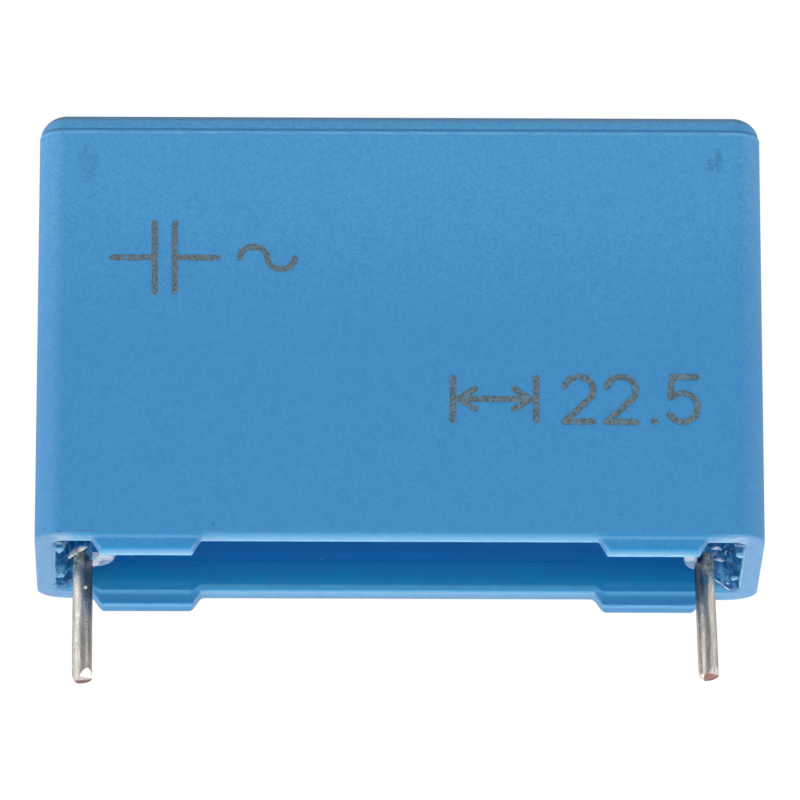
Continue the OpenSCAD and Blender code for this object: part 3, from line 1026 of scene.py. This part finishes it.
def build_world():
    """Soft light from a white table below and from both sides, dim behind the camera and behind the part."""
    world = bpy.data.worlds.new("studio")
    bpy.context.scene.world = world
    n = Nodes(world)
    way = n.add("ShaderNodeTexCoord").outputs["Generated"]
    way = n.add("ShaderNodeVectorMath", {0: way}, operation="NORMALIZE").outputs[0]
    x, y, up = n.axes(way)
    flat = n.add("ShaderNodeVectorMath", {0: way, 1: (1, 1, 0)}, operation="MULTIPLY").outputs[0]
    flat = n.add("ShaderNodeVectorMath", {0: flat}, operation="NORMALIZE").outputs[0]
    turn = n.ramp(n.axes(flat)[1], -1.0, 1.0)
    turn.node.interpolation_type = "LINEAR"
    # From straight towards the camera (0) past the sides (0.5) to straight behind (1)
    around = n.curve(turn, [(0.0, 0.4), (0.05, 0.42), (0.15, 0.95), (0.28, 1.35), (0.45, 1.2), (0.75, 0.9),
                            (0.9, 0.5), (0.97, 0.2)])
    soft_box = n.times(n.band(x, -0.97, -0.8, -0.5, -0.25), 0.4)
    around = n.math("ADD", around, n.times(soft_box, n.ramp(y, 0.0, -0.3)))
    level = n.mix(n.ramp(up, 0.45, 0.95), around, grey(0.65))
    level = n.mix(n.ramp(up, 0.04, -0.16), level, grey(1.4))
    # A little more from the left
    level = n.mix(1.0, level, n.ramp(x, -1.0, 1.0, 1.1, 0.93), "MULTIPLY")
    # The white backdrop, as the camera and reflections see it
    from_camera, mirrored = n.ray_kinds()
    behind = n.times(n.ramp(y, 0.3, 0.6), n.band(up, -0.16, 0.0, 0.2, 0.3))
    seen = n.math("ADD", from_camera, n.times(mirrored, behind), clamp=True)
    background = n.add("ShaderNodeBackground", {"Color": n.mix(seen, level, WHITE)})
    output = n.add("ShaderNodeOutputWorld")
    n.tree.links.new(background.outputs[0], output.inputs[0])


def build_floor():
    """A pale sheet far under the part, below the camera too."""
    material = bpy.data.materials.new("pale_floor")
    n = Nodes(material)
    cloud = n.noise(n.position(), 0.02, 2.0)
    paper = n.principled(Base_Color=n.mix(cloud, grey(0.88), grey(0.92)), Roughness=0.8)
    from_camera, mirrored = n.ray_kinds()
    seen = n.times(n.math("ADD", from_camera, mirrored, clamp=True), 0.85)
    glow = n.add("ShaderNodeEmission", {"Color": WHITE})
    both = n.add("ShaderNodeMixShader", {0: seen, 1: paper.outputs[0], 2: glow.outputs[0]})
    output = n.tree.nodes["Material Output"]
    n.tree.links.new(both.outputs[0], output.inputs[0])
    size, drop = 340, -800
    corners = [(-size, -size, drop), (size, -size, drop), (size, size, drop), (-size, size, drop)]
    make_object("floor", corners, [(0, 1, 2, 3)], material)


def build_camera():
    """The photograph's view: a long lens, from a little below and almost square to the front."""
    elevation, yaw = math.radians(16.8), math.radians(0.70)
    distance, pixels_per_mm, picture_width = 576.0, 27.65, 800
    # What the middle of the picture shows: so far to the right of the origin, and above the rim
    across, above = 0.244, 6.05
    level = math.cos(elevation)
    right = Vector((math.cos(yaw), -math.sin(yaw), 0))
    forward = Vector((math.sin(yaw) * level, math.cos(yaw) * level, math.sin(elevation)))
    up = right.cross(forward)
    place = Vector((0, 0, RIM_Z)) + across * right + above * up - distance * forward
    data = bpy.data.cameras.new("camera")
    data.sensor_width = 36
    data.lens = pixels_per_mm * distance / picture_width * data.sensor_width
    data.clip_start, data.clip_end = 0.01, 10
    camera = bpy.data.objects.new("camera", data)
    basis = Matrix((right, up, -forward)).transposed().to_4x4()
    camera.matrix_world = Matrix.Translation(place * MM) @ basis
    bpy.context.scene.collection.objects.link(camera)
    bpy.context.scene.camera = camera


bpy.context.scene.view_settings.view_transform = "Standard"
build_world()
build_floor()
build_camera()

# In the order of the slots at the wires' tips
wire_finishes = [
    tin_material(),
    cut_material("sheared_tin", (226, 222, 218), (244, 241, 238), roughness=0.25, lines=0.2),
    cut_material("sheared_grey", (176, 172, 166), (206, 202, 196), roughness=0.35, lines=0.2),
    cut_material("pale_cut", (172, 148, 144), (204, 186, 182), roughness=0.35, lines=0.5, far_edge=-0.02),
    cut_material("cut_copper", (116, 74, 66), (156, 108, 98), roughness=0.4, lines=0.5),
]
build_case(case_material(), inside_material())
build_resin(resin_material())
build_lead("wire_left", "lead_left", -1, LEFT_LEAD_L, LEFT_TIP, wire_finishes, seed=3.1, shift=LEFT_SHIFT)
build_lead("wire_right", "lead_right", 1, RIGHT_LEAD_L, RIGHT_TIP, wire_finishes, seed=7.4, lean=RIGHT_LEAN)
build_marks(mark_material())

film = inner_material("wound_film", (170, 172, 176), (205, 207, 210),
                      metallic=0.3, roughness=0.35, scale=0.8)
spray = inner_material("sprayed_zinc", (120, 122, 126), (160, 161, 163),
                       metallic=0.8, roughness=0.6, scale=6.0)
for node, finish in (("film_winding", film), ("end_contact_left", spray), ("end_contact_right", spray)):
    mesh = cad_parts[node].data
    mesh.materials.clear()
    mesh.materials.append(finish)
